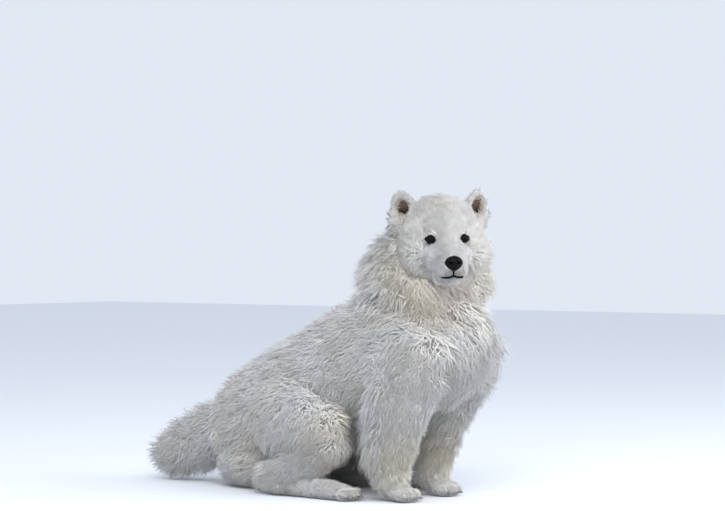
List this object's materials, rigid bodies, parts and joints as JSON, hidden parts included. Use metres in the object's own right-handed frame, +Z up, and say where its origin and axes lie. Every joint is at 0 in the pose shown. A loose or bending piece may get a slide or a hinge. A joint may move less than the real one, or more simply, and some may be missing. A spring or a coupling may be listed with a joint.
{
  "type": "samoyed",
  "caption": "Sitting samoyed dog with a long white coat, upright ears, a full ruff and a bushy tail laid out behind, its head turned to its right, as a life-size still model.",
  "frame": {"origin": "middle of the outline's bounding box, on the floor that the dog sits on", "axes": "+X the way the dog's body faces, +Y the dog's left side, +Z up"},
  "size_m": [0.9822, 0.3758, 0.6937],
  "materials": {
    "coat": "matt, long off-white fur",
    "leg_coat": "matt, short cream fur",
    "ear": "matt, short fur over tan skin",
    "eye": "wet, dark brown",
    "nose": "satin, black"
  },
  "bodies": {
    "root": {"head": "coat", "ear_left": "ear", "ear_right": "ear", "eye_left": "eye", "eye_right": "eye", "nose": "nose", "neck": "coat", "torso": "coat", "tail": "coat", "foreleg_left": "leg_coat", "foreleg_right": "leg_coat", "forepaw_left": "leg_coat", "forepaw_right": "leg_coat", "hindleg_left": "coat", "hindleg_right": "coat", "hindpaw_left": "leg_coat", "hindpaw_right": "leg_coat"}
  },
  "joints": []
}
